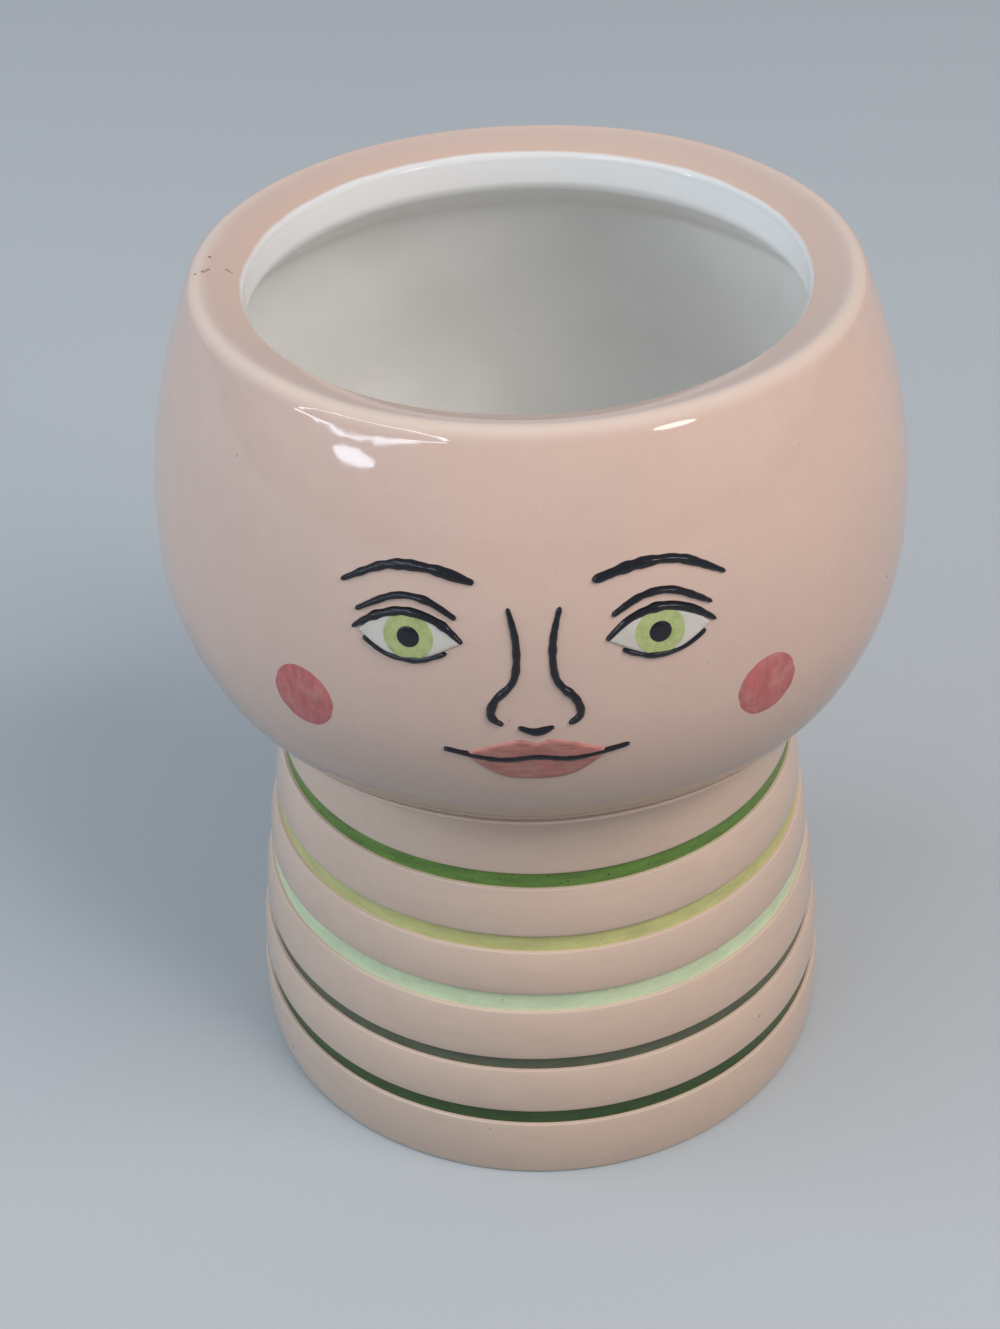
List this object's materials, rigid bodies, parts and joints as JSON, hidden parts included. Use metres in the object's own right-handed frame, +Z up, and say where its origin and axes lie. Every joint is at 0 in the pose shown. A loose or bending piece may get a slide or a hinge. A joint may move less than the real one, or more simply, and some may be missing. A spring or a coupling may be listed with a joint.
{
  "type": "face vase",
  "caption": "Glazed ceramic vase in the shape of a head: an open bowl with a simple line-drawn face, standing on a ringed neck with coloured glaze bands.",
  "frame": {"origin": "middle of the foot's underside, on the table", "axes": "+Z up along the vase's axis; the face looks along -Y; +X is to the right of a person in front of it"},
  "size_m": [0.1222, 0.1228, 0.1499],
  "materials": {
    "peach_glazed_clay": "gloss",
    "pink_glazed_clay": "gloss",
    "white_inner_glaze": "gloss",
    "dark_green_glaze": "gloss",
    "grey_green_glaze": "gloss",
    "mint_glaze": "gloss",
    "olive_glaze": "gloss",
    "leaf_green_glaze": "gloss",
    "black_line_glaze": "gloss",
    "eye_white_glaze": "gloss",
    "iris_green_glaze": "gloss",
    "rose_cheek_glaze": "gloss",
    "rose_lip_glaze": "gloss"
  },
  "bodies": {
    "root": {"head_bowl": "peach_glazed_clay", "chin_ledge": "peach_glazed_clay", "neck_and_foot": "pink_glazed_clay", "inner_white_glaze": "white_inner_glaze", "dark_green_band": "dark_green_glaze", "grey_green_band": "grey_green_glaze", "mint_band": "mint_glaze", "olive_band": "olive_glaze", "leaf_green_band": "leaf_green_glaze", "left_brow_line": "black_line_glaze", "left_lid_crease_line": "black_line_glaze", "left_upper_lash_line": "black_line_glaze", "left_lower_lash_line": "black_line_glaze", "left_eye_white": "eye_white_glaze", "left_iris": "iris_green_glaze", "left_pupil": "black_line_glaze", "left_cheek_disc": "rose_cheek_glaze", "left_nose_line": "black_line_glaze", "right_brow_line": "black_line_glaze", "right_lid_crease_line": "black_line_glaze", "right_upper_lash_line": "black_line_glaze", "right_lower_lash_line": "black_line_glaze", "right_eye_white": "eye_white_glaze", "right_iris": "iris_green_glaze", "right_pupil": "black_line_glaze", "right_cheek_disc": "rose_cheek_glaze", "right_nose_line": "black_line_glaze", "nose_base_line": "black_line_glaze", "mouth_line": "black_line_glaze", "upper_lip_glaze": "rose_lip_glaze", "lower_lip_glaze": "rose_lip_glaze"}
  },
  "joints": []
}
